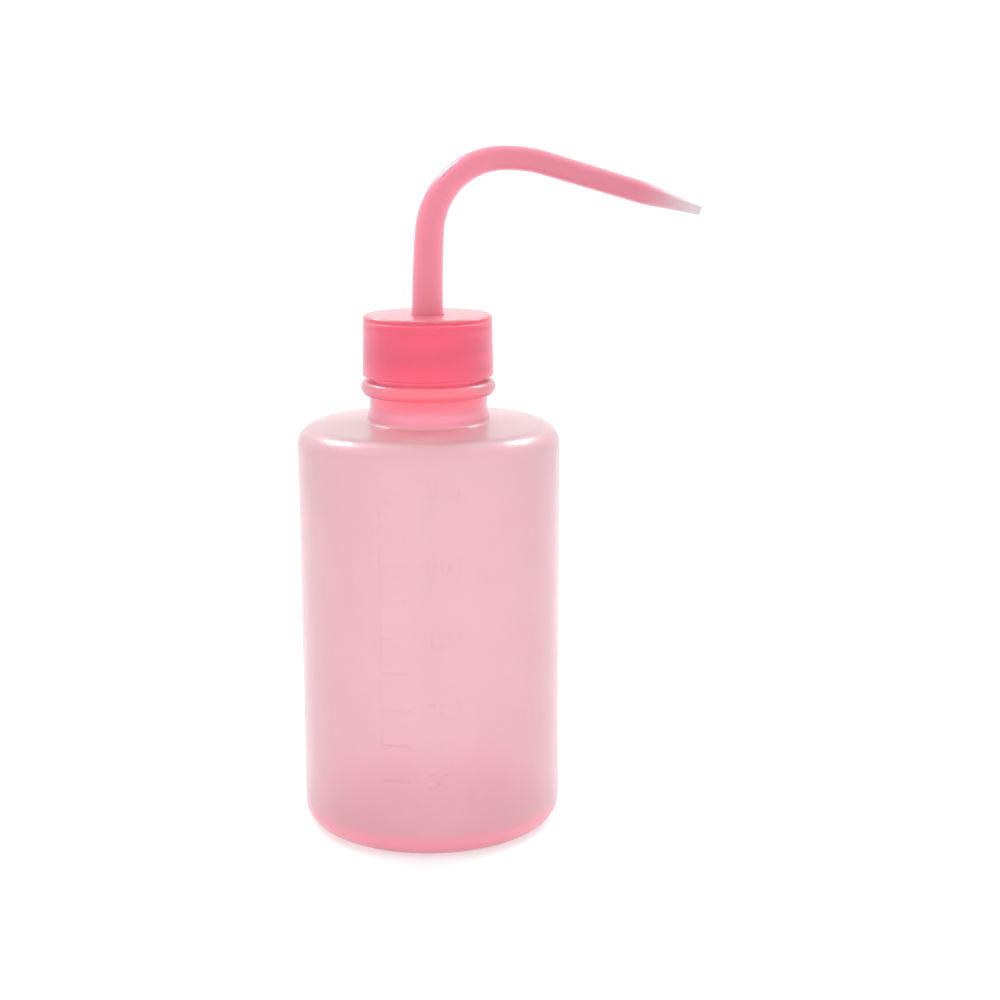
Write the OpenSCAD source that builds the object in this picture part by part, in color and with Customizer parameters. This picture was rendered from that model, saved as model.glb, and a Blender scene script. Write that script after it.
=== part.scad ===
// Squeeze wash bottle of 250 ml: a thin bottle, a screw cap, a neck plug, a bent spout and a dip tube.
// +Z is up. The bottle stands on Z = 0 with its axis on Z, and the spout points along +X.
// The front, which carries the volume marks, faces -Y.

/* [Bottle] */
// Outside diameter of the body
body_d = 62; // [60:0.5:66]
// Height of the shoulder where it meets the neck
shoulder_z = 98; // [94:0.2:104]
// Fall of the shoulder from the neck to its edge
shoulder_fall = 0.8; // [0.2:0.1:1.5]
// Rounding of the shoulder edge
shoulder_round = 4.8; // [3:0.2:5.4]
// Rounding of the base edge
base_round = 5; // [3:0.5:5.5]
// Wall thickness of the body
wall = 0.9; // [0.7:0.1:1.2]
// Thickness of the base
base_wall = 1.2; // [1:0.1:1.6]
// Depth of the hollow under the base
base_hollow = 1.8; // [1:0.2:2.4]
// Diameter of the hollow under the base
base_hollow_d = 44; // [36:1:46]

/* [Neck] */
// Height of the neck from the shoulder to the lip
neck_h = 22.5; // [22.3:0.1:23.4]
// Outside diameter of the neck below the bead
neck_d = 27.6; // [27:0.1:28]
// Outside diameter of the neck between the threads
finish_d = 26; // [25.8:0.1:26.2]
// Bore of the neck
neck_bore_d = 23.2; // [22.8:0.1:23.4]
// Diameter of the soft swelling at the foot of the neck
foot_d = 28.5; // [28:0.1:29]
// Diameter of the bead under the cap
bead_d = 31.6; // [30.8:0.1:32]
// Height of the bead
bead_h = 3.5; // [3:0.1:3.6]
// Rounding of the bead
bead_round = 1.5; // [0.6:0.1:1.5]

/* [Thread] */
// Rise of the thread in one turn
thread_pitch = 4.2333; // [3.9:0.1:4.4]
// Diameter over the thread on the neck
thread_d = 28; // [27.8:0.1:28.2]
// Length of the thread on the neck, in turns
neck_turns = 1.25; // [1:0.25:1.25]
// Length of the thread in the cap, in turns
cap_turns = 1.2; // [1:0.1:1.2]

/* [Volume marks] */
// Height of the lowest mark, 50 ml
mark_z = 18.7; // [14:0.1:22]
// Distance between marks 25 ml apart
mark_step = 8.53; // [8:0.01:8.6]
// How far the marks stand out of the wall
mark_relief = 0.16; // [0.1:0.01:0.3]

/* [Cap] */
// Diameter of the cap at its open end
cap_d = 30.8; // [30.4:0.1:31.2]
// Diameter of the cap at its top
cap_top_d = 30.2; // [30:0.1:30.4]
// Height of the cap
cap_h = 14.2; // [14.1:0.1:14.6]
// Thickness of the cap's top
cap_top_t = 1.35; // [1.2:0.05:1.5]
// Inside diameter of the cap between the threads
cap_bore_d = 28.6; // [28.5:0.1:28.8]
// Diameter of the hole for the spout
cap_hole_d = 7.9; // [7.7:0.1:8.2]

/* [Plug] */
// Depth of the plug's skirt below the neck's lip
plug_depth = 19; // [12:1:20]
// Diameter of the plug's flange
plug_flange_d = 27.8; // [27.4:0.1:27.9]
// Diameter of the plug's skirt
plug_skirt_d = 22.6; // [22:0.1:22.7]
// Wall thickness of the skirt
plug_wall = 1.1; // [0.9:0.1:1.3]
// Diameter of the socket that holds the spout
socket_d = 10; // [9.6:0.2:11]
// Length of the socket below the neck's lip
socket_depth = 15.5; // [8:0.5:16]

/* [Spout] */
// Diameter of the spout's stem
stem_d = 7.3; // [6.8:0.1:7.4]
// Diameter where the bend starts
bend_d = 6.8; // [6:0.1:7]
// Diameter after the bend
arm_d = 5.6; // [5.4:0.1:6]
// Diameter where the tip's taper starts
nozzle_d = 5.15; // [4.8:0.05:5.4]
// Diameter of the tip
tip_d = 2.4; // [2.2:0.1:3]
// Length of the bend's slight lean above the cap
lean_len = 18.5; // [16:0.5:22]
// Angle of that lean
lean_angle = 4; // [2:1:6]
// Radius of the first stretch of the bend
bend_r1 = 18; // [15:1:22]
// Angle of the first stretch of the bend
bend_a1 = 46; // [40:1:50]
// Radius of the second stretch of the bend
bend_r2 = 17; // [15:1:22]
// Angle of the second stretch of the bend
bend_a2 = 38; // [34:1:42]
// Radius of the last stretch of the bend
bend_r3 = 32; // [24:1:40]
// Angle of the last stretch of the bend
bend_a3 = 18.6; // [10:0.2:24]
// Straight length from the bend to the tip
nozzle_len = 37.3; // [30:0.1:50]
// Length of the tip's taper
taper_len = 13.5; // [8:0.5:18]

/* [Dip tube] */
// Outside diameter of the dip tube
dip_d = 4; // [3.6:0.1:4.4]
// Wall thickness of the dip tube
dip_wall = 0.6; // [0.4:0.1:0.8]
// Height of the dip tube's lower end above the table
dip_end_z = 5; // [4.5:0.5:10]
// Angle of the cut at its lower end
dip_cut = 35; // [0:5:45]

/* [Hidden] */
$fn = 96;

// Clearance of a turning or sliding fit, and the gap between faces that meet
fit_gap = 0.05;
face_gap = 0.05;

// Heights that the parts share
lip_z = shoulder_z + neck_h;
edge_z = shoulder_z - shoulder_fall;
cap_gap = 1;
cap_roof_z = lip_z + face_gap + 1.2;
cap_z = cap_roof_z + cap_top_t - cap_h;
cap_top_z = cap_z + cap_h;
bead_top_z = cap_z - cap_gap;
plug_top_z = cap_roof_z - face_gap;
plug_base_z = lip_z + face_gap;

// Radii
body_r = body_d / 2;
neck_r = neck_d / 2;
finish_r = finish_d / 2;
bore_r = neck_bore_d / 2;
thread_r = thread_d / 2;
cap_bore_r = cap_bore_d / 2;
foot_r = foot_d / 2;
foot_round = 3;
foot_z = shoulder_z + 0.9;

// The ball that presses the hollow into the base
hollow_ball_r = (pow(base_hollow_d / 2, 2) + pow(base_hollow, 2)) / (2 * base_hollow);

// Thread forms: a ridge is widest where it leaves its wall and narrow at its crest
thread_root = 0.3;
thread_steps = 24;
ridge_foot_w = 2.1;
ridge_crest_w = 0.9;
neck_thread_z = lip_z - 8.1;
neck_thread_angle = 20;
cap_thread_r = cap_bore_r - 0.95;
cap_thread_lead = 0.2;
thread_drop = 1.4;
cap_thread_z = neck_thread_z - thread_drop - cap_thread_lead * thread_pitch;
cap_thread_angle = neck_thread_angle - 360 * cap_thread_lead;

// Ring inside the cap that keeps the plug's flange in it
catch_round = 0.7;
catch_z = plug_base_z - catch_round - 0.1;

// Collar that keeps the spout under the cap
collar_d = 9.2;
collar_t = 0.65;
collar_z = plug_top_z - face_gap - collar_t;
spout_end_z = lip_z - 17;
spout_top_z = cap_top_z + 0.9;
spout_bore_d = 3.2;
tip_bore_d = 1.4;
tube_sides = 24;
bend_rings = 22;
dip_seat_top_z = spout_end_z + 13;

// Volume marks, by angle from +X round the axis
mark_count = 9;
long_mark = 2;
mark_angle = -109.6;
mark_sweep = 11.6;
mark_long_sweep = 13.7;
mark_w = 0.5;
mark_line_from = 1;
mark_line_h = 57;

// Half outline of a round box with rounded edges
module round_box_half(r, z0, z1, low_round, high_round) {
    translate([0, z0]) square([r - low_round, low_round]);
    translate([r - low_round, z0 + low_round]) circle(low_round);
    translate([0, z0 + low_round]) square([r, z1 - z0 - low_round - high_round]);
    translate([r - high_round, z1 - high_round]) circle(high_round);
    translate([0, z1 - high_round]) square([r - high_round, high_round]);
}

// Half outline of a ring with round edges
module bead_half(inner_r, outer_r, z0, h, edge) {
    translate([inner_r, z0]) square([outer_r - edge - inner_r, h]);
    translate([inner_r, z0 + edge]) square([outer_r - inner_r, h - 2 * edge]);
    translate([outer_r - edge, z0 + edge]) circle(edge);
    translate([outer_r - edge, z0 + h - edge]) circle(edge);
}

// Half outline of the bottle, without its cavity
module bottle_outline() {
    difference() {
        round_box_half(body_r, 0, edge_z, base_round, shoulder_round);
        translate([0, base_hollow - hollow_ball_r]) circle(hollow_ball_r, $fn = 360);
    }
    polygon([
        [0, edge_z - 1], [body_r - shoulder_round, edge_z - 1],
        [body_r - shoulder_round, edge_z], [neck_r, shoulder_z], [0, shoulder_z]
    ]);
    translate([0, edge_z - 1]) square([neck_r, bead_top_z - edge_z]);
    translate([foot_r - foot_round, foot_z]) circle(foot_round);
    bead_half(finish_r - 1, bead_d / 2, bead_top_z - bead_h, bead_h, bead_round);
    translate([0, shoulder_z]) square([finish_r, neck_h]);
}

// Half outline of the cavity, with the neck's bore
module cavity_outline() {
    difference() {
        round_box_half(
            body_r - wall, base_wall, edge_z - wall, base_round - wall, shoulder_round - wall
        );
        translate([0, base_hollow - hollow_ball_r]) circle(hollow_ball_r + base_wall, $fn = 360);
    }
    translate([0, shoulder_z - 10]) square([bore_r, neck_h + 20]);
}

// The same faces, seen from their other side
function flipped(faces) = [for (face = faces) [for (k = [len(face) - 1:-1:0]) face[k]]];

// One ridge of a screw thread, faded out at both ends, that stands out of a wall or into its bore
module thread_ridge(wall_r, crest_r, turns) {
    last = round(turns * thread_steps);
    fade = 3;
    points = [
        for (i = [0:last])
            let (
                turn = 360 * i / thread_steps,
                z = thread_pitch * i / thread_steps,
                height = max(0.04, min(1, i / fade, (last - i) / fade)),
                r = wall_r + (crest_r - wall_r) * height,
                half_foot = ridge_foot_w / 2,
                half_crest = half_foot + (ridge_crest_w / 2 - half_foot) * height
            )
            each [
                [wall_r * cos(turn), wall_r * sin(turn), z - half_foot],
                [r * cos(turn), r * sin(turn), z - half_crest],
                [r * cos(turn), r * sin(turn), z + half_crest],
                [wall_r * cos(turn), wall_r * sin(turn), z + half_foot]
            ]
    ];
    sides = [
        for (i = [0:last - 1], k = [0:3])
            let (a = 4 * i + k, b = 4 * i + (k + 1) % 4)
            each [[a, b, b + 4], [a, b + 4, a + 4]]
    ];
    ends = [[3, 2, 1, 0], [4 * last, 4 * last + 1, 4 * last + 2, 4 * last + 3]];
    faces = concat(sides, ends);
    polyhedron(points, crest_r > wall_r ? faces : flipped(faces));
}

// Draws one raised mark on the wall, from an angle over a sweep
module mark(angle, sweep, z, h) {
    rotate([0, 0, angle])
        rotate_extrude(angle = sweep)
            translate([body_r - wall / 2, z]) square([wall / 2 + mark_relief, h]);
}

module volume_marks() {
    mark(mark_angle, 0.9, mark_z + mark_line_from * mark_step, mark_line_h);
    for (i = [0:mark_count - 1]) {
        sweep = i == long_mark ? mark_long_sweep : mark_sweep;
        mark(mark_angle, sweep, mark_z + i * mark_step - mark_w / 2, mark_w);
    }
}

module bottle() {
    color([0.94, 0.75, 0.77, 0.7]) {
        rotate_extrude() difference() {
            bottle_outline();
            cavity_outline();
        }
        rotate([0, 0, neck_thread_angle])
            translate([0, 0, neck_thread_z])
                thread_ridge(finish_r - thread_root, thread_r, neck_turns);
        volume_marks();
    }
}

module screw_cap() {
    color([0.94, 0.4, 0.5]) {
        rotate_extrude() {
            difference() {
                cap_outline();
                translate([0, cap_z - 1]) square([cap_bore_r, cap_roof_z - cap_z + 1]);
                square([cap_hole_d / 2, cap_top_z + 1]);
            }
            translate([cap_bore_r, catch_z]) circle(catch_round);
        }
        rotate([0, 0, cap_thread_angle])
            translate([0, 0, cap_thread_z])
                thread_ridge(cap_bore_r + thread_root, cap_thread_r, cap_turns);
    }
}

// Half outline of the cap with its slight draft and its rounded top edge
module cap_outline() {
    edge = 0.7;
    top_r = cap_top_d / 2;
    polygon([
        [0, cap_z], [cap_d / 2, cap_z], [top_r, cap_top_z - edge],
        [top_r - edge, cap_top_z], [0, cap_top_z]
    ]);
    translate([top_r - edge, cap_top_z - edge]) circle(edge);
}

module neck_plug() {
    skirt_r = plug_skirt_d / 2;
    seal_r = bore_r - fit_gap;
    seal_round = 0.6;
    skirt_z = lip_z - plug_depth + plug_wall / 2;
    socket_z = lip_z - socket_depth;
    color([0.93, 0.32, 0.42]) rotate_extrude() difference() {
        union() {
            translate([0, plug_base_z]) square([plug_flange_d / 2, plug_top_z - plug_base_z]);
            translate([skirt_r - plug_wall, skirt_z]) square([plug_wall, plug_base_z - skirt_z + 0.5]);
            translate([skirt_r - plug_wall / 2, skirt_z]) circle(plug_wall / 2);
            translate([0, socket_z]) square([socket_d / 2, plug_base_z - socket_z + 0.5]);
            for (z = [lip_z - 3, lip_z - 9])
                translate([seal_r - seal_round, z]) circle(seal_round);
        }
        square([stem_d / 2 + fit_gap, plug_top_z + 1]);
        translate([0, collar_z - face_gap]) square([collar_d / 2 + 0.15, 3]);
    }
}

// A run of the spout's path is [radius, angle]: it turns towards +X
spout_runs = [
    [lean_len * 180 / (PI * lean_angle), lean_angle],
    [bend_r1, bend_a1],
    [bend_r2, bend_a2],
    [bend_r3, bend_a3]
];
function run_len(n) = spout_runs[n][0] * spout_runs[n][1] * PI / 180;
function path_len(n) = n == 0 ? 0 : path_len(n - 1) + run_len(n - 1);

// Heading above the horizontal after the first n runs, and the unit vectors along and to the right of it
function heading(n) = n == 0 ? 90 : heading(n - 1) - spout_runs[n - 1][1];
function ahead_of(h) = [cos(h), sin(h)];
function right_of(h) = [sin(h), -cos(h)];

// Place on the path after the first n runs, in the plane of X and Z
function place(n) = n == 0
    ? [0, spout_top_z]
    : place(n - 1) + spout_runs[n - 1][0] * (right_of(heading(n - 1)) - right_of(heading(n)));

// Heading and place at a distance s along the path
function heading_at(s, n = 0) =
    n == len(spout_runs) || s <= 0 ? heading(n)
    : s <= run_len(n) ? heading(n) - spout_runs[n][1] * s / run_len(n)
    : heading_at(s - run_len(n), n + 1);
function place_at(s, n = 0) =
    n == len(spout_runs) || s <= 0 ? place(n) + s * ahead_of(heading(n))
    : s <= run_len(n) ? place(n) + spout_runs[n][0] * (right_of(heading(n)) - right_of(heading_at(s, n)))
    : place_at(s - run_len(n), n + 1);

// The bent part of the spout: a tapering tube, swept along the path as rings of points
module bent_tube() {
    bend_end = path_len(len(spout_runs));
    tip_s = bend_end + nozzle_len;
    taper_s = tip_s - taper_len;
    outer_d = [
        [0, stem_d - 2 * fit_gap], [lean_len, bend_d], [path_len(3), arm_d],
        [taper_s, nozzle_d], [tip_s, tip_d]
    ];
    inner_d = [[0, spout_bore_d + 2 * fit_gap], [taper_s, spout_bore_d], [tip_s, tip_bore_d]];
    stations = concat(
        [-1],
        [for (i = [0:bend_rings]) bend_end * i / bend_rings],
        [taper_s, tip_s]
    );
    last = len(stations) - 1;
    points = [
        for (s = stations, table = [outer_d, inner_d], k = [0:tube_sides - 1])
            let (
                turn = 360 * k / tube_sides,
                r = lookup(s, table) / 2,
                p = place_at(s) + r * cos(turn) * right_of(heading_at(s))
            )
            [p[0], r * sin(turn), p[1]]
    ];
    n = tube_sides;
    walls = [
        for (i = [0:last - 1], k = [0:n - 1])
            let (a = 2 * n * i + k, b = a - k + (k + 1) % n, c = a + 2 * n, d = b + 2 * n)
            each [[a, b, d], [a, d, c], [a + n, d + n, b + n], [a + n, c + n, d + n]]
    ];
    ends = [
        for (k = [0:n - 1])
            let (a = k, b = (k + 1) % n, e = 2 * n * last)
            each [[a, a + n, b + n], [a, b + n, b], [e + a, e + b + n, e + a + n], [e + a, e + b, e + b + n]]
    ];
    polyhedron(points, flipped(concat(walls, ends)));
}

module spout() {
    color([0.92, 0.5, 0.6]) {
        rotate_extrude() difference() {
            union() {
                translate([0, spout_end_z]) square([stem_d / 2, spout_top_z - spout_end_z]);
                translate([0, collar_z]) square([collar_d / 2, collar_t]);
            }
            translate([0, spout_end_z - 1]) square([spout_bore_d / 2, spout_top_z - spout_end_z + 2]);
            translate([0, spout_end_z - 1]) square([dip_d / 2, dip_seat_top_z - spout_end_z + 1]);
        }
        bent_tube();
    }
}

module dip_tube() {
    color([0.95, 0.9, 0.9, 0.8]) difference() {
        translate([0, 0, dip_end_z]) cylinder(h = dip_seat_top_z - dip_end_z, d = dip_d);
        translate([0, 0, dip_end_z - 1]) cylinder(h = lip_z, d = dip_d - 2 * dip_wall);
        translate([0, 0, dip_end_z + dip_d / 2 * tan(dip_cut)])
            rotate([0, dip_cut, 0])
                translate([-10, -10, -20]) cube(20);
    }
}

bottle();
screw_cap();
neck_plug();
spout();
dip_tube();
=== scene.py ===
import math

import bpy
import numpy as np
from mathutils import Matrix, Vector


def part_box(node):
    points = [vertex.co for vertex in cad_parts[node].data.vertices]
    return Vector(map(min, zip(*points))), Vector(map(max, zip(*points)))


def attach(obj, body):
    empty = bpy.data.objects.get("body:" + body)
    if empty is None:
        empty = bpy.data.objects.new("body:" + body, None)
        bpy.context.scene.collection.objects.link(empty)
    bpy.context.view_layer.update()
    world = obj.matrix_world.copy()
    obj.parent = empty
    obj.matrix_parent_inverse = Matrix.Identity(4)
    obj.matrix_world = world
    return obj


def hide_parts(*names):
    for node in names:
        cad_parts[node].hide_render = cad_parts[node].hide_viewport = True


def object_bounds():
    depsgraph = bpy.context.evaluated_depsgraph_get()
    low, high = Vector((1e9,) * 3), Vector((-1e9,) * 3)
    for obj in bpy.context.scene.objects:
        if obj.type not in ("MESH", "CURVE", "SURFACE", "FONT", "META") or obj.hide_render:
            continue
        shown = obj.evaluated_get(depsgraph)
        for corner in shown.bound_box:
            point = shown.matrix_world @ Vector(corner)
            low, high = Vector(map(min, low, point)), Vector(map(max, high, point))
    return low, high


# The looks of a 250 ml squeeze wash bottle. Lengths are in millimetres until a mesh is made, and the
# bottle's axis is Z. Angles round the axis are in degrees from +X, so the front, at -Y, is -90.
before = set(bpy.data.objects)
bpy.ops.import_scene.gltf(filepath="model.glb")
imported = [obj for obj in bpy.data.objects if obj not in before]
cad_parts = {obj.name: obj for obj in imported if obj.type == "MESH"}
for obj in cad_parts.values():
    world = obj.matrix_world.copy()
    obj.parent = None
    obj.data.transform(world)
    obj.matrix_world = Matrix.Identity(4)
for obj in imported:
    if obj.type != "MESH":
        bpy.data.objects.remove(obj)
cad_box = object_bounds()

MM = 0.001


def node_box(node):
    """A CAD node's lowest and highest corner, in millimetres."""
    low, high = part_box(node)
    return low / MM, high / MM


BOTTLE_HIGH = node_box("bottle")[1]
CAP_LOW, CAP_HIGH = node_box("screw_cap")
PLUG_LOW, PLUG_HIGH = node_box("neck_plug")
SPOUT_LOW, SPOUT_HIGH = node_box("spout")
DIP_LOW, DIP_HIGH = node_box("dip_tube")

# Outline sizes, worked out from the frame
BODY_R = BOTTLE_HIGH.x
LIP_Z = BOTTLE_HIGH.z
CAP_R = CAP_HIGH.x
CAP_Z = CAP_LOW.z
CAP_TOP_Z = CAP_HIGH.z
FLANGE_R = PLUG_HIGH.x
PLUG_Z = PLUG_LOW.z
PLUG_TOP_Z = PLUG_HIGH.z
COLLAR_R = SPOUT_HIGH.y
SPOUT_Z = SPOUT_LOW.z
DIP_R = DIP_HIGH.x
DIP_Z = DIP_LOW.z
DIP_TOP_Z = DIP_HIGH.z

SHOULDER_Z = LIP_Z - 22.5
SHOULDER_EDGE_Z = SHOULDER_Z - 0.8
BEAD_TOP_Z = CAP_Z - 1.0
BEAD_H = 3.5
BEAD_R = 15.8
BORE_R = 11.6
FINISH_R = 13.0
NECK_R = 13.8
WALL = 0.9
THREAD_PITCH = 4.2333
THREAD_HEIGHT = 1.0
STEM_R = 3.65
COLLAR_T = 0.65
STEM_GAP = 0.05


# ---------------------------------------------------------------- mesh tools

def rounded(corners, closed=False, turn_step=9.0):
    """An outline through corners (x, y, radius), each rounded off by an arc of its radius."""
    count = len(corners)
    outline = []
    for i, (x, y, radius) in enumerate(corners):
        here = Vector((x, y))
        if radius == 0 or (not closed and i in (0, count - 1)):
            outline.append((x, y))
            continue
        before = (Vector(corners[i - 1][:2]) - here).normalized()
        after = (Vector(corners[(i + 1) % count][:2]) - here).normalized()
        inside = before.angle(after)
        reach = radius / math.tan(inside / 2)
        centre = here + (before + after).normalized() * (radius / math.sin(inside / 2))
        start = here + before * reach - centre
        turn = math.pi - inside
        side = 1.0 if start.y * before.x > start.x * before.y else -1.0
        steps = max(2, math.ceil(math.degrees(turn) / turn_step))
        for k in range(steps + 1):
            angle = side * turn * k / steps
            c, s = math.cos(angle), math.sin(angle)
            outline.append((centre.x + start.x * c - start.y * s, centre.y + start.x * s + start.y * c))
    return outline


def refined(outline, longest):
    """The outline with its long stretches divided. longest(x, y) is the longest step there."""
    fine = [outline[0]]
    for (x0, y0), (x1, y1) in zip(outline[:-1], outline[1:]):
        length = math.hypot(x1 - x0, y1 - y0)
        steps = max(1, math.ceil(length / longest((x0 + x1) / 2, (y0 + y1) / 2)))
        for k in range(1, steps + 1):
            fine.append((x0 + (x1 - x0) * k / steps, y0 + (y1 - y0) * k / steps))
    return fine


def grid_mesh(name, rings, close_rings, poles=(False, False)):
    """A surface through rings of points, in millimetres. Each ring is closed; a pole is one point."""
    sides = len(rings[1])
    points, starts = [], []
    for ring in rings:
        starts.append(len(points))
        points.extend(ring)
    faces = []
    count = len(rings)
    for i in range(count if close_rings else count - 1):
        j = (i + 1) % count
        for k in range(sides):
            m = (k + 1) % sides
            if i == 0 and poles[0]:
                faces.append((starts[0], starts[j] + m, starts[j] + k))
            elif j == count - 1 and poles[1]:
                faces.append((starts[i] + k, starts[i] + m, starts[j]))
            else:
                faces.append((starts[i] + k, starts[i] + m, starts[j] + m, starts[j] + k))
    mesh = bpy.data.meshes.new(name)
    mesh.from_pydata([(x * MM, y * MM, z * MM) for x, y, z in points], [], faces)
    mesh.validate()
    mesh.shade_smooth()
    piece = bpy.data.objects.new(name, mesh)
    bpy.context.scene.collection.objects.link(piece)
    return piece


def lathe(name, outline, angles, shift=None, closed=True):
    """The outline (radius, height) turned round the axis. shift(angle, r, z) moves a point outwards."""
    rings = []
    turns = np.radians(angles)
    for r, z in outline:
        if r < 1e-6:
            rings.append([(0.0, 0.0, z)])
            continue
        out = np.full(len(turns), r) if shift is None else r + shift(np.asarray(angles), r, z)
        rings.append([(a * math.cos(t), a * math.sin(t), z) for a, t in zip(out, turns)])
    poles = (outline[0][0] < 1e-6, outline[-1][0] < 1e-6)
    return grid_mesh(name, rings, closed, poles)


def even_angles(count):
    return [360.0 * k / count for k in range(count)]


def smoothstep(t):
    t = np.clip(t, 0.0, 1.0)
    return t * t * (3 - 2 * t)


def thread_height(angles, z, start_angle, start_z, turns, foot_w=2.1, crest_w=0.9):
    """How far a faded screw ridge stands out at a height z, from 0 to 1, for each angle."""
    height = np.zeros(len(angles))
    for wrap in range(-1, 3):
        turn = (np.mod(np.asarray(angles) - start_angle, 360.0)) / 360.0 + wrap
        away = np.abs(z - start_z - THREAD_PITCH * turn)
        ridge = (foot_w / 2 - away) / ((foot_w - crest_w) / 2)
        fade = np.minimum(turn, turns - turn) * 8
        height = np.maximum(height, np.clip(ridge, 0, 1) * np.clip(fade, 0, 1))
    return smoothstep(height)


# ---------------------------------------------------------------- materials

# How glossy every piece's skin is, from 0 to 1
COAT = 0.4

def new_material(name, colour, roughness):
    material = bpy.data.materials.new(name)
    material.use_nodes = True
    shader = material.node_tree.nodes["Principled BSDF"]
    shader.inputs["Base Color"].default_value = (*colour, 1.0)
    shader.inputs["Roughness"].default_value = roughness
    return material, shader


def add_node(material, kind, **settings):
    """A node with its settings. A name that is one of its sockets sets that socket."""
    node = material.node_tree.nodes.new(kind)
    for key, value in settings.items():
        socket = key.replace("_", " ")
        if socket in node.inputs:
            node.inputs[socket].default_value = value
        else:
            setattr(node, key, value)
    return node


def colour_ramp(material, *stops):
    ramp = add_node(material, "ShaderNodeValToRGB")
    while len(ramp.color_ramp.elements) < len(stops):
        ramp.color_ramp.elements.new(1.0)
    for element, (position, colour) in zip(ramp.color_ramp.elements, stops):
        element.position = position
        element.color = (*colour, 1.0)
    return ramp


def along_axis(material, place, axis, stops):
    """A colour that changes along an axis of the object. stops are (place in millimetres, colour)."""
    low, high = stops[0][0], stops[-1][0]
    split = add_node(material, "ShaderNodeSeparateXYZ")
    share = add_node(material, "ShaderNodeMapRange")
    share.inputs["From Min"].default_value = low * MM
    share.inputs["From Max"].default_value = high * MM
    ramp = colour_ramp(material, *[((at - low) / (high - low), colour) for at, colour in stops])
    ramp.color_ramp.interpolation = "EASE"
    link = material.node_tree.links.new
    link(place.outputs["Object"], split.inputs["Vector"])
    link(split.outputs[axis], share.inputs["Value"])
    link(share.outputs["Result"], ramp.inputs["Fac"])
    return ramp.outputs["Color"]


def moulded_plastic(name, axis, zones, clearness, haze, gloss, absorbed, density):
    """Milky polyethylene. zones are (place, colour, glow) along an axis, and glow is painted light: an
    emission that stands in for the light that scatters on inside a thick wall. haze blurs what shows
    through the wall, gloss is its skin's roughness, and absorbed and density are what a metre of wall
    takes out of the light."""
    material, shader = new_material(name, zones[0][1], haze)
    link = material.node_tree.links.new
    shader.inputs["IOR"].default_value = 1.5
    shader.inputs["Transmission Weight"].default_value = clearness
    shader.inputs["Coat Weight"].default_value = COAT
    shader.inputs["Coat Roughness"].default_value = gloss
    shader.inputs["Coat IOR"].default_value = 1.5
    place = add_node(material, "ShaderNodeTexCoord")
    cloud = add_node(material, "ShaderNodeTexNoise", Scale=55.0, Detail=3.0, Roughness=0.55)
    link(place.outputs["Object"], cloud.inputs["Vector"])
    tint = colour_ramp(material, (0.35, (0.99, 0.96, 0.965)), (0.65, (1.0, 1.0, 1.0)))
    link(cloud.outputs["Fac"], tint.inputs["Fac"])
    pigment = along_axis(material, place, axis, [(at, colour) for at, colour, glow in zones])
    mix = add_node(material, "ShaderNodeMix", data_type="RGBA", blend_type="MULTIPLY")
    mix.inputs["Factor"].default_value = 1.0
    link(pigment, mix.inputs[6])
    link(tint.outputs["Color"], mix.inputs[7])
    link(mix.outputs[2], shader.inputs["Base Color"])
    # painted light: each zone's glow goes in as emission, so the plastic shines without a lamp
    painted_glows = [(at, tuple(glow * part for part in colour)) for at, colour, glow in zones]
    link(along_axis(material, place, axis, painted_glows), shader.inputs["Emission Color"])
    shader.inputs["Emission Strength"].default_value = 1.0
    wave = add_node(material, "ShaderNodeTexNoise", Scale=90.0, Detail=1.0)
    link(place.outputs["Object"], wave.inputs["Vector"])
    skin = add_node(material, "ShaderNodeTexNoise", Scale=1900.0, Detail=2.0)
    link(place.outputs["Object"], skin.inputs["Vector"])
    slow = add_node(material, "ShaderNodeBump", Strength=0.12, Distance=0.0006)
    link(wave.outputs["Fac"], slow.inputs["Height"])
    fine = add_node(material, "ShaderNodeBump", Strength=0.1, Distance=0.00004)
    link(skin.outputs["Fac"], fine.inputs["Height"])
    link(slow.outputs["Normal"], fine.inputs["Normal"])
    link(fine.outputs["Normal"], shader.inputs["Normal"])
    inside = add_node(material, "ShaderNodeVolumeAbsorption", Color=(*absorbed, 1.0), Density=density)
    link(inside.outputs["Volume"], material.node_tree.nodes["Material Output"].inputs["Volume"])
    return material


# ---------------------------------------------------------------- volume marks

MARK_Z = 18.7
MARK_STEP = 8.53
MARK_COUNT = 9
MARK_LEFT = -109.6
MARK_RELIEF = 0.16
DIGIT_H = 3.6
DIGIT_W = 2.0
DIGIT_GAP = 0.8


def arc(cx, cy, rx, ry, start, end, steps=10):
    turns = [math.radians(start + (end - start) * k / steps) for k in range(steps + 1)]
    return [(cx + rx * math.cos(t), cy + ry * math.sin(t)) for t in turns]


def digit_strokes(digit):
    """The strokes of a plain figure in a box one high and 0.56 wide."""
    if digit == "0":
        return [arc(0.28, 0.5, 0.28, 0.5, 0, 360, 20)]
    if digit == "1":
        return [[(0.08, 0.78), (0.3, 1.0), (0.3, 0.0)]]
    if digit == "2":
        return [arc(0.28, 0.72, 0.27, 0.28, 170, -35) + [(0.02, 0.0), (0.56, 0.0)]]
    return [[(0.52, 1.0), (0.08, 1.0), (0.05, 0.56)] + arc(0.25, 0.32, 0.3, 0.32, 110, -145, 12)]


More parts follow.
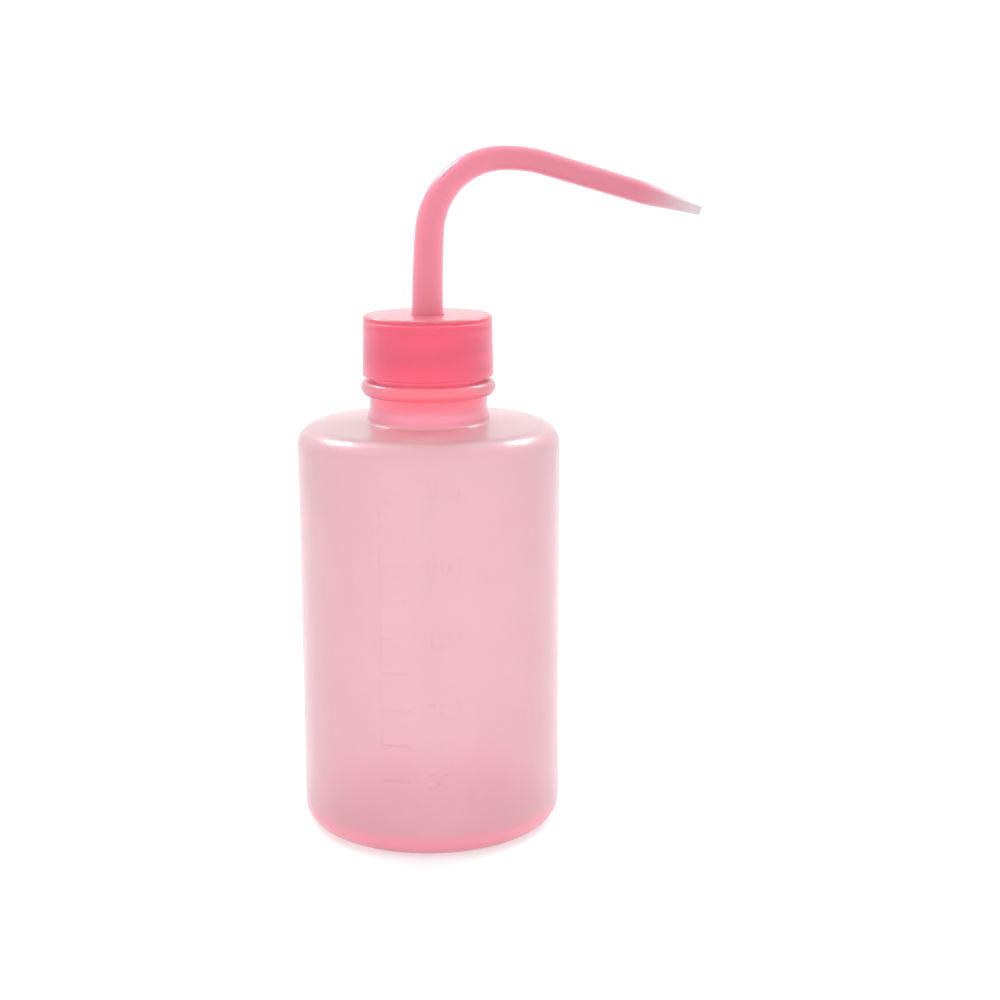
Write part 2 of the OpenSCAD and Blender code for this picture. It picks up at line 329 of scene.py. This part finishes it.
def mark_strokes():
    """Every raised stroke on the wall: ((x, z), (x, z), half width), x along the wall from the front."""
    def x_at(angle):
        return math.radians(angle + 90) * BODY_R
    left = x_at(MARK_LEFT)
    strokes = [((left, MARK_Z + MARK_STEP), (left, MARK_Z + MARK_STEP + 57), 0.22)]
    for i in range(MARK_COUNT):
        z = MARK_Z + i * MARK_STEP
        right = x_at(-95.9 if i == 2 else -98.0)
        strokes.append(((left, z), (right, z), 0.25))
        if i % 2 == 0:
            x = x_at(-89.0)
            for digit in str(50 + 25 * i):
                for line in digit_strokes(digit):
                    line = [(x + px * DIGIT_H, z - DIGIT_H / 2 + py * DIGIT_H) for px, py in line]
                    strokes += [(a, b, 0.2) for a, b in zip(line[:-1], line[1:])]
                x += DIGIT_W + DIGIT_GAP
    return strokes


MARK_STROKES = mark_strokes()


def mark_height(angles, z):
    """How far the marks stand out of the wall at a height, from 0 to 1, for each angle."""
    x = np.radians(np.asarray(angles) + 90) * BODY_R
    height = np.zeros(len(x))
    for (ax, az), (bx, bz), half in MARK_STROKES:
        if z < min(az, bz) - 0.6 or z > max(az, bz) + 0.6:
            continue
        dx, dz = bx - ax, bz - az
        t = np.clip(((x - ax) * dx + (z - az) * dz) / max(dx * dx + dz * dz, 1e-9), 0, 1)
        away = np.hypot(x - ax - t * dx, z - az - t * dz)
        height = np.maximum(height, smoothstep((half + 0.12 - away) / 0.16))
    return height


# ---------------------------------------------------------------- pieces

NECK_THREAD_ANGLE = 20.0
NECK_THREAD_Z = LIP_Z - 8.1
CAP_THREAD_ANGLE = NECK_THREAD_ANGLE - 72.0
CAP_THREAD_Z = NECK_THREAD_Z - 1.4 - 0.2 * THREAD_PITCH


MARKS_FROM = -111.5
MARKS_TO = -69.0


def bottle_angles():
    """Coarse steps round the body, fine ones across the marks and at the two mould seams."""
    seams_at = (-180.0, 0.0)
    marks = list(np.arange(MARKS_FROM, MARKS_TO, 0.5))
    plain = [a for a in np.arange(-180.0, 180.0, 4.5) if a not in seams_at]
    coarse = [a for a in plain if not MARKS_FROM <= a <= marks[-1]]
    seams = [c + d for c in seams_at for d in (-1.2, -0.7, -0.3, 0.0, 0.3, 0.7, 1.2)]
    return sorted(marks + coarse + [a + 360 if a < -180 else a for a in seams])


def bottle_shift(angles, r, z):
    out = np.zeros(len(angles))
    if r > BODY_R - 0.01 and 10 < z < 92:
        out += MARK_RELIEF * mark_height(angles, z)
    if abs(r - FINISH_R) < 0.01 and z > BEAD_TOP_Z:
        out += THREAD_HEIGHT * thread_height(angles, z, NECK_THREAD_ANGLE, NECK_THREAD_Z, 1.25)
    if r > NECK_R - 0.5 and z > 1.0:
        seam = np.minimum(np.abs(angles), 180 - np.abs(angles)) * math.pi / 180 * r
        out += 0.06 * smoothstep((0.35 - seam) / 0.3)
    return out


def make_bottle():
    dome = [(22.0 * k / 8, 1.8 * (1 - (k / 8) ** 2), 0) for k in range(9)]
    outer = dome + [
        (BODY_R, 0.0, 5.0),
        (BODY_R, SHOULDER_EDGE_Z, 4.8),
        (NECK_R + 0.6, SHOULDER_Z, 0.9),
        (NECK_R + 0.5, SHOULDER_Z + 1.6, 0.9),
        (NECK_R, SHOULDER_Z + 3.0, 2.0),
        (NECK_R, BEAD_TOP_Z - BEAD_H, 0.25),
        (BEAD_R, BEAD_TOP_Z - BEAD_H, 1.5),
        (BEAD_R, BEAD_TOP_Z, 1.5),
        (FINISH_R, BEAD_TOP_Z, 0.3),
        (FINISH_R, LIP_Z, 0.45),
        (BORE_R, LIP_Z, 0.3),
    ]
    inner = [
        (BORE_R, SHOULDER_EDGE_Z - WALL, 0.9),
        (BODY_R - WALL, SHOULDER_EDGE_Z - WALL, 3.9),
        (BODY_R - WALL, 1.2, 4.1),
        (22.0, 1.2, 1.0),
    ] + [(22.0 * k / 8, 1.2 + 1.8 * (1 - (k / 8) ** 2), 0) for k in range(7, -1, -1)]
    outline = rounded(outer + inner)

    def longest(r, z):
        on_wall = r > BODY_R - 0.01 and 15 < z < 90
        on_thread = abs(r - FINISH_R) < 0.01 and z > BEAD_TOP_Z
        return 0.3 if on_wall or on_thread else 2.5

    piece = lathe("bottle_shell", refined(outline, longest), bottle_angles(), bottle_shift, closed=False)
    piece.data.materials.append(BOTTLE_PLASTIC)
    return piece


def make_cap():
    top_r = CAP_R - 0.3
    hole_r = 3.95
    bore_r = 14.3
    roof_z = CAP_TOP_Z - 1.35
    catch_h = 0.7
    catch_z = roof_z - 1.95
    outline = rounded([
        (CAP_R, CAP_Z, 0.25),
        (top_r, CAP_TOP_Z, 0.7),
        (hole_r, CAP_TOP_Z, 0.3),
        (hole_r, roof_z, 0.2),
        (bore_r, roof_z, 0.4),
        (bore_r, CAP_Z, 0.3),
    ], closed=True)
    outline.append(outline[0])

    def longest(r, z):
        return 0.3 if r < bore_r + 0.01 and z < roof_z - 1 else 1.5

    def shift(angles, r, z):
        out = np.zeros(len(angles))
        if abs(r - bore_r) < 0.01:
            out -= 0.95 * thread_height(angles, z, CAP_THREAD_ANGLE, CAP_THREAD_Z, 1.2)
            out -= catch_h * math.sqrt(max(0.0, 1 - ((z - catch_z) / catch_h) ** 2))
        return out

    piece = lathe("cap_shell", refined(outline, longest)[:-1], even_angles(180), shift)
    piece.data.materials.append(CAP_PLASTIC)
    return piece


def make_plug():
    skirt_r = 11.3
    wall = 1.1
    socket_r = 5.0
    hole_r = STEM_R + STEM_GAP
    base_z = LIP_Z + 0.05
    socket_z = LIP_Z - 15.5
    seat_r = COLLAR_R + 0.15
    seat_z = PLUG_TOP_Z - 0.75
    corners = [
        (skirt_r, PLUG_Z, 0.54),
        (skirt_r, base_z, 0.3),
        (FLANGE_R, base_z, 0.2),
        (FLANGE_R, PLUG_TOP_Z, 0.3),
        (seat_r, PLUG_TOP_Z, 0.15),
        (seat_r, seat_z, 0.05),
        (hole_r, seat_z, 0.1),
        (hole_r, socket_z, 0.2),
        (socket_r, socket_z, 0.3),
        (socket_r, base_z, 0.8),
        (skirt_r - wall, base_z, 0.8),
        (skirt_r - wall, PLUG_Z, 0.54),
    ]
    outline = rounded(corners, closed=True)
    outline.append(outline[0])

    def shift(angles, r, z):
        beads = [max(0.0, 0.36 - (z - LIP_Z + d) ** 2) for d in (3.0, 9.0)]
        bulge = max(0.0, max(math.sqrt(b) for b in beads) - 0.35)
        return np.full(len(angles), bulge if abs(r - skirt_r) < 0.01 else 0.0)

    piece = lathe("plug_shell", refined(outline, lambda r, z: 0.5)[:-1], even_angles(120), shift)
    piece.data.materials.append(PLUG_PLASTIC)
    return piece


# The spout's path above the cap as (radius, angle) turns towards +X, and its straight end
LEAN_LEN = 18.5
SPOUT_RUNS = [(LEAN_LEN * 180 / (math.pi * 4), 4.0), (18.0, 46.0), (17.0, 38.0), (32.0, 18.6)]
SPOUT_BEND_Z = CAP_TOP_Z + 0.9
NOZZLE_LEN = 37.3
TAPER_LEN = 13.5
BEND_LEN = sum(math.radians(angle) * radius for radius, angle in SPOUT_RUNS)
TIP_S = BEND_LEN + NOZZLE_LEN


def spout_path(s):
    """The path's (x, z) and heading, in radians above the horizontal, at a distance s past the stem."""
    heading = math.pi / 2
    x, z = 0.0, SPOUT_BEND_Z
    for radius, angle in SPOUT_RUNS:
        turn = min(max(s, 0.0) / radius, math.radians(angle))
        x += radius * (math.sin(heading) - math.sin(heading - turn))
        z += radius * (math.cos(heading - turn) - math.cos(heading))
        heading -= turn
        s -= turn * radius
        if turn < math.radians(angle) - 1e-9:
            break
    return x + s * math.cos(heading), z + s * math.sin(heading), heading


def make_spout():
    stem_s = SPOUT_Z - SPOUT_BEND_Z
    collar_top = PLUG_TOP_Z - STEM_GAP - SPOUT_BEND_Z
    taper_s = TIP_S - TAPER_LEN
    seat_s = stem_s + 13.0
    corners = [
        (STEM_R, stem_s, 0.3),
        (STEM_R, collar_top - COLLAR_T, 0.1),
        (COLLAR_R, collar_top - COLLAR_T, 0.15),
        (COLLAR_R, collar_top, 0.15),
        (STEM_R, collar_top, 0.2),
        (STEM_R, 0.0, 20.0),
        (3.4, LEAN_LEN, 30.0),
        (2.8, 44.2, 30.0),
        (2.58, taper_s, 14.0),
        (1.2, TIP_S, 0.18),
        (0.7, TIP_S, 0.15),
        (1.55, taper_s, 10.0),
        (1.6, 0.0, 0),
        (1.6, seat_s, 0.1),
        (DIP_R + 0.05, seat_s, 0.1),
        (DIP_R + 0.05, stem_s, 0.2),
    ]
    outline = rounded(corners, closed=True, turn_step=12.0)
    outline.append(outline[0])
    outline = refined(outline, lambda r, s: 0.6)[:-1]
    sides = 64
    rings = []
    for r, s in outline:
        x, z, heading = spout_path(s)
        across = (math.sin(heading), -math.cos(heading))
        ring = []
        for k in range(sides):
            turn = 2 * math.pi * k / sides
            out = r * math.cos(turn)
            ring.append((x + out * across[0], r * math.sin(turn), z + out * across[1]))
        rings.append(ring)
    piece = grid_mesh("spout_tube", rings, True)
    piece.data.materials.append(SPOUT_PLASTIC)
    return piece


def make_dip_tube():
    wall = 0.6
    slope = math.tan(math.radians(35))
    outline = [(DIP_R, DIP_Z), (DIP_R, DIP_TOP_Z), (DIP_R - wall, DIP_TOP_Z), (DIP_R - wall, DIP_Z)]
    outline.append(outline[0])
    outline = refined(outline, lambda r, z: 2.0)[:-1]
    cut_zone = 2 * DIP_R * slope
    rings = []
    for r, z in outline:
        ring = []
        for angle in np.radians(even_angles(48)):
            x, y = r * math.cos(angle), r * math.sin(angle)
            cut_z = DIP_Z + (DIP_R - x) * slope
            fade = max(0.0, 1 - (z - DIP_Z) / (3 * cut_zone))
            ring.append((x, y, z + (cut_z - DIP_Z) * fade))
        rings.append(ring)
    piece = grid_mesh("dip_tube_straw", rings, True)
    piece.data.materials.append(DIP_PLASTIC)
    return piece


# ---------------------------------------------------------------- stage, light and camera

VIEW_DISTANCE = 0.4394
VIEW_ELEVATION = math.radians(12.03)
VIEW_ROLL = -0.0019
VIEW_LENS = 66.2


def make_camera():
    """The photograph's viewpoint: a little above the shoulder, square on to the spout's plane."""
    low, high = cad_box
    target = (low + high) / 2 + Vector((0.0005, 0.0, -0.0023))
    target.y = 0.0
    back = Vector((0.0, -math.cos(VIEW_ELEVATION), math.sin(VIEW_ELEVATION)))
    data = bpy.data.cameras.new("camera")
    data.lens = VIEW_LENS
    data.sensor_width = 36.0
    data.clip_start, data.clip_end = 0.01, 20.0
    camera = bpy.data.objects.new("camera", data)
    turn = (-back).to_track_quat("-Z", "Y").to_matrix() @ Matrix.Rotation(VIEW_ROLL, 3, "Z")
    camera.matrix_world = Matrix.Translation(target + back * VIEW_DISTANCE) @ turn.to_4x4()
    bpy.context.scene.collection.objects.link(camera)
    bpy.context.scene.camera = camera


def area_light(name, place, size, power, aim=(0.0, 0.0, 0.09)):
    """A rectangular lamp, power in watts, that shines at the middle of the bottle."""
    data = bpy.data.lights.new(name, "AREA")
    data.shape = "RECTANGLE"
    data.size, data.size_y = size
    data.energy = power
    light = bpy.data.objects.new(name, data)
    light.location = place
    light.rotation_euler = (Vector(aim) - Vector(place)).to_track_quat("-Z", "Y").to_euler()
    bpy.context.scene.collection.objects.link(light)


def make_stage():
    scene = bpy.context.scene
    scene.view_settings.view_transform = "Standard"
    world = bpy.data.worlds.new("studio")
    world.use_nodes = True
    sky = world.node_tree.nodes["Background"]
    sky.inputs["Color"].default_value = (1.0, 1.0, 1.0, 1.0)
    sky.inputs["Strength"].default_value = 1.2
    scene.world = world
    for side, across in (("left", -0.6), ("right", 0.6)):
        area_light(side + "_light", (across, 0.46, 0.8), (0.3, 0.3), 4.5)
    make_floor()


FLOOR_GLOW = 0.5


def make_floor():
    """A pale round floor that fades into the white surroundings, so that it has no horizon."""
    reach = 600.0
    outline = [(reach * k / 6, -0.05) for k in range(6, -1, -1)]
    floor = lathe("studio_floor", outline, even_angles(96), closed=False)
    material, shader = new_material("studio_floor", (0.5, 0.5, 0.5), 0.7)
    link = material.node_tree.links.new
    place = add_node(material, "ShaderNodeTexCoord")
    distance = add_node(material, "ShaderNodeVectorMath", operation="LENGTH")
    link(place.outputs["Object"], distance.inputs[0])
    fade = add_node(material, "ShaderNodeMapRange", interpolation_type="SMOOTHSTEP")
    for socket, value in (("From Min", 0.3), ("From Max", 0.59), ("To Min", 1.0), ("To Max", 0.0)):
        fade.inputs[socket].default_value = value
    link(distance.outputs["Value"], fade.inputs["Value"])
    link(fade.outputs["Result"], shader.inputs["Alpha"])
    shader.inputs["Emission Color"].default_value = (1.0, 1.0, 1.0, 1.0)
    shader.inputs["Emission Strength"].default_value = FLOOR_GLOW
    floor.data.materials.append(material)


# ---------------------------------------------------------------- build

make_camera()
make_stage()

BODY_PINK = (0.93, 0.79, 0.83)
# The base's deeper pink is painted: it stands in for light that goes a long way through the thick base.
BASE_PAINTED_PINK = (0.96, 0.5, 0.62)
# The shoulder's pale band is a painted reflection of the white surroundings on the glossy shoulder.
SHOULDER_PAINTED_REFLECTION = (0.95, 0.9, 0.92)
# The neck's deeper pink is painted: it stands in for the red plug showing through and for light lost
# inside the neck.
NECK_PAINTED_PINK = (0.97, 0.53, 0.67)
CAP_PINK = (0.96, 0.29, 0.5)
# The cap top's pale colour is a painted reflection of the white surroundings.
CAP_TOP_PAINTED_REFLECTION = (0.96, 0.74, 0.82)
PLUG_RED = (0.99, 0.02, 0.09)
SPOUT_PINK = (0.87, 0.31, 0.42)
TIP_PINK = (0.85, 0.8, 0.82)
MILKY = (0.99, 0.9, 0.91)

# The bottle's glow, faint on the body and stronger at the base and neck, is painted light.
BOTTLE_PLASTIC = moulded_plastic("bottle_plastic", "Z", [
    # painted depth and glow at the base
    (0.0, BASE_PAINTED_PINK, 0.05), (2.8, BASE_PAINTED_PINK, 0.12),
    (7.0, BODY_PINK, 0.02), (SHOULDER_Z - 2.2, BODY_PINK, 0.02),
    # painted reflection on the shoulder
    (SHOULDER_Z - 0.7, SHOULDER_PAINTED_REFLECTION, 0.02), (SHOULDER_Z + 0.1, SHOULDER_PAINTED_REFLECTION, 0.02),
    # painted deeper pink and glow up the neck
    (SHOULDER_Z + 0.9, NECK_PAINTED_PINK, 0.13), (BEAD_TOP_Z - BEAD_H, NECK_PAINTED_PINK, 0.09),
    (LIP_Z, NECK_PAINTED_PINK, 0.07),
], 0.8, 0.34, 0.12, (0.96, 0.68, 0.73), 700.0)
# The cap's faint glow is painted light.
CAP_PLASTIC = moulded_plastic("cap_plastic", "Z", [
    # painted reflection on the cap's top
    (CAP_Z, CAP_PINK, 0.04), (CAP_TOP_Z - 0.8, CAP_PINK, 0.04), (CAP_TOP_Z, CAP_TOP_PAINTED_REFLECTION, 0.04),
], 0.9, 0.35, 0.15, (1.0, 0.6, 0.68), 500.0)
# The plug's strong glow is painted light that reddens the middle of the cap.
PLUG_PLASTIC = moulded_plastic("plug_plastic", "Z", [
    (PLUG_Z, PLUG_RED, 0.3), (PLUG_TOP_Z, PLUG_RED, 0.3),
], 0.15, 0.45, 0.3, (1.0, 0.5, 0.55), 500.0)
# The faint glow at the spout's foot is painted light.
SPOUT_PLASTIC = moulded_plastic("spout_plastic", "X", [
    (0.0, SPOUT_PINK, 0.05), (48.0, SPOUT_PINK, 0.0), (63.0, TIP_PINK, 0.0),
], 0.5, 0.35, 0.12, (1.0, 0.6, 0.68), 300.0)
# The dip tube's glow is painted light that keeps the tube from showing grey inside the bottle.
DIP_PLASTIC = moulded_plastic("dip_plastic", "Z", [
    (DIP_Z, MILKY, 0.1), (DIP_TOP_Z, MILKY, 0.1),
], 0.7, 0.25, 0.15, (1.0, 0.97, 0.97), 50.0)

PIECES = [
    (make_bottle, "bottle", "bottle", "bottle"),
    (make_cap, "cap", "screw_cap", "cap"),
    (make_plug, "plug", "neck_plug", "plug"),
    (make_spout, "spout", "spout", "spout"),
    (make_dip_tube, "spout", "dip_tube", "dip_tube"),
]
for make, body, node, slot in PIECES:
    made = make()
    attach(made, body)
    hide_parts(node)
